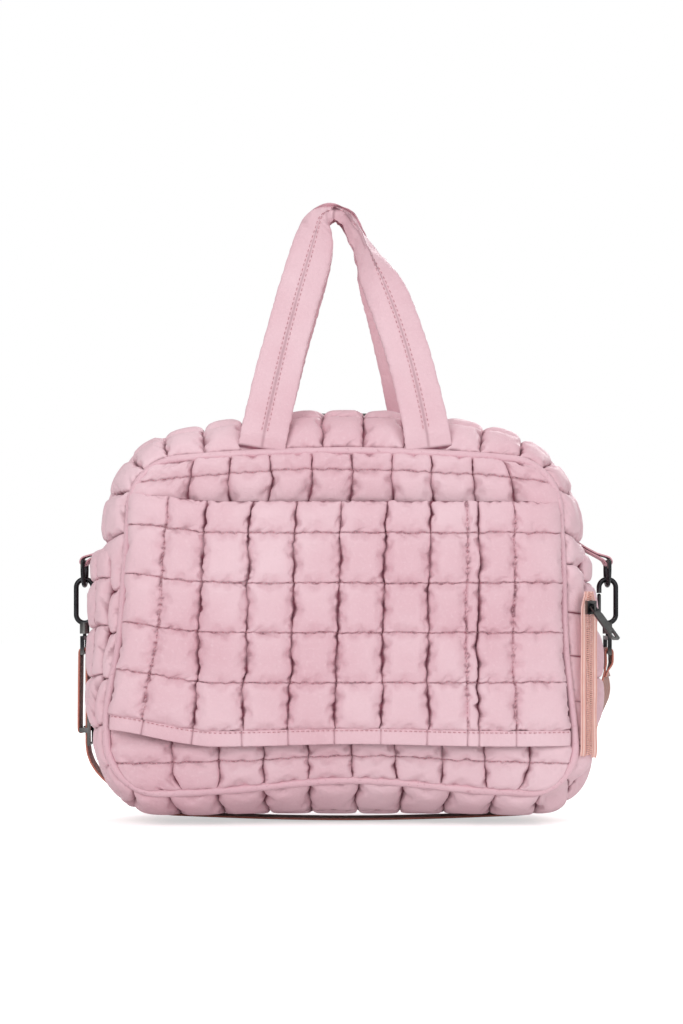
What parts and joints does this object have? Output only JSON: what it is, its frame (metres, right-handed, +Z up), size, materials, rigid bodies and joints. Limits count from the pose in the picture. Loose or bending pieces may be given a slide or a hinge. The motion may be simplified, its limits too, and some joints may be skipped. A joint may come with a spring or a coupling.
{
  "type": "diaper bag",
  "caption": "Soft quilted diaper bag with folding carry handles, front trolley sleeve, side pockets, zips and a clip-on shoulder strap.",
  "frame": {"origin": "centre of the flat underside of the base", "axes": "+Z up; the front panel with the trolley sleeve faces -Y; +X is the bag's right-hand side as drawn from the front (the zipped side pocket)"},
  "size_m": [0.4562, 0.1952, 0.5204],
  "materials": {
    "quilted_nylon": "soft satin sheen",
    "piping_trim": "satin",
    "zip_tape": "matte woven",
    "zip_coil": "satin",
    "gunmetal": "dark polished",
    "spring_steel": "satin",
    "strap_webbing": "ribbed woven",
    "lining_cloth": "matte",
    "stiffener_board": "matte"
  },
  "bodies": {
    "bag": {"front_panel": "quilted_nylon", "rear_panel": "quilted_nylon", "lower_gusset": "quilted_nylon", "top_gusset_front": "quilted_nylon", "top_gusset_rear": "quilted_nylon", "left_shoulder_strip": "quilted_nylon", "right_shoulder_strip": "quilted_nylon", "front_sleeve": "quilted_nylon", "left_bottle_pocket": "quilted_nylon", "right_zip_pocket": "quilted_nylon", "front_piping": "piping_trim", "rear_piping": "piping_trim", "sleeve_hem": "piping_trim", "left_pocket_elastic": "piping_trim", "left_ring_tab": "piping_trim", "right_ring_tab": "piping_trim", "side_zip_tapes": "zip_tape", "top_zip_tape_front": "zip_tape", "top_zip_tape_rear": "zip_tape", "side_zip_coil": "zip_coil", "top_zip_coil": "zip_coil", "lining": "lining_cloth", "inner_elastic_pocket": "lining_cloth", "inner_slip_pocket": "lining_cloth", "base_stiffener": "stiffener_board"},
    "front_handle": {"front_handle": "quilted_nylon"},
    "rear_handle": {"rear_handle": "quilted_nylon"},
    "side_slider": {"side_zip_slider": "gunmetal"},
    "side_puller": {"side_zip_puller": "gunmetal"},
    "left_top_slider": {"top_zip_slider_left": "gunmetal"},
    "left_top_puller": {"top_zip_puller_left": "gunmetal"},
    "right_top_slider": {"top_zip_slider_right": "gunmetal"},
    "right_top_puller": {"top_zip_puller_right": "gunmetal"},
    "left_ring": {"left_d_ring": "gunmetal"},
    "right_ring": {"right_d_ring": "gunmetal"},
    "strap": {"strap_webbing": "strap_webbing", "strap_length_loop": "strap_webbing", "left_swivel_eye": "gunmetal", "right_swivel_eye": "gunmetal"},
    "left_hook": {"left_hook_body": "gunmetal", "left_gate_pin": "spring_steel", "left_gate_spring": "spring_steel"},
    "right_hook": {"right_hook_body": "gunmetal", "right_gate_pin": "spring_steel", "right_gate_spring": "spring_steel"},
    "left_gate": {"left_hook_gate": "gunmetal"},
    "right_gate": {"right_hook_gate": "gunmetal"},
    "adjuster": {"strap_adjuster": "gunmetal"}
  },
  "joints": [
    {"name": "front_handle_fold", "type": "hinge", "parent": "bag", "child": "front_handle", "pos_m": [0, -0.086, 0.294], "axis": [1, 0, 0], "range_deg": [0, 165]},
    {"name": "rear_handle_fold", "type": "hinge", "parent": "bag", "child": "rear_handle", "pos_m": [0, 0.086, 0.294], "axis": [-1, 0, 0], "range_deg": [0, 178]},
    {"name": "side_zip_run", "type": "slide", "parent": "bag", "child": "side_slider", "axis": [0, 0, 1], "range_m": [-0.116, 0]},
    {"name": "side_puller_flip", "type": "hinge", "parent": "side_slider", "child": "side_puller", "pos_m": [0.19904, -0.07871, 0.17], "axis": [-0.766, -0.6428, 0], "range_deg": [-45, 80]},
    {"name": "left_top_zip_run", "type": "hinge", "parent": "bag", "child": "left_top_slider", "pos_m": [0, 0, -0.229], "axis": [0, 1, 0], "range_deg": [-12, 0]},
    {"name": "left_top_puller_flip", "type": "hinge", "parent": "left_top_slider", "child": "left_top_puller", "pos_m": [-0.00607, 0, 0.33147], "axis": [0, 1, 0], "range_deg": [0, 145]},
    {"name": "right_top_zip_run", "type": "hinge", "parent": "bag", "child": "right_top_slider", "pos_m": [0, 0, -0.229], "axis": [0, 1, 0], "range_deg": [0, 12]},
    {"name": "right_top_puller_flip", "type": "hinge", "parent": "right_top_slider", "child": "right_top_puller", "pos_m": [0.00607, 0, 0.33147], "axis": [0, -1, 0], "range_deg": [0, 145]},
    {"name": "left_ring_swing", "type": "hinge", "parent": "bag", "child": "left_ring", "pos_m": [-0.219, 0, 0.208], "axis": [0, 1, 0], "range_deg": [-3, 3]},
    {"name": "right_ring_swing", "type": "hinge", "parent": "bag", "child": "right_ring", "pos_m": [0.219, 0, 0.208], "axis": [0, 1, 0], "range_deg": [-3, 3]},
    {"name": "strap_swing", "type": "hinge", "parent": "bag", "child": "strap", "pos_m": [0, 0, 0.2029], "axis": [1, 0, 0], "range_deg": [-32, 70]},
    {"name": "left_hook_swivel", "type": "hinge", "parent": "strap", "child": "left_hook", "pos_m": [-0.219, 0, 0.15], "axis": [0, 0, 1], "range_deg": [-30, 30]},
    {"name": "right_hook_swivel", "type": "hinge", "parent": "strap", "child": "right_hook", "pos_m": [0.219, 0, 0.15], "axis": [0, 0, 1], "range_deg": [-30, 30]},
    {"name": "left_gate_open", "type": "hinge", "parent": "left_hook", "child": "left_gate", "pos_m": [-0.212, 0, 0.164], "axis": [0, -1, 0], "range_deg": [0, 24], "stiffness_Nm_per_rad": 0.01, "springref_deg": -17.19},
    {"name": "right_gate_open", "type": "hinge", "parent": "right_hook", "child": "right_gate", "pos_m": [0.212, 0, 0.164], "axis": [0, 1, 0], "range_deg": [0, 24], "stiffness_Nm_per_rad": 0.01, "springref_deg": -17.19},
    {"name": "adjuster_slide", "type": "slide", "parent": "strap", "child": "adjuster", "axis": [0, 0, 1], "range_m": [0, 0.036], "deforming": ["strap_length_loop"]}
  ]
}
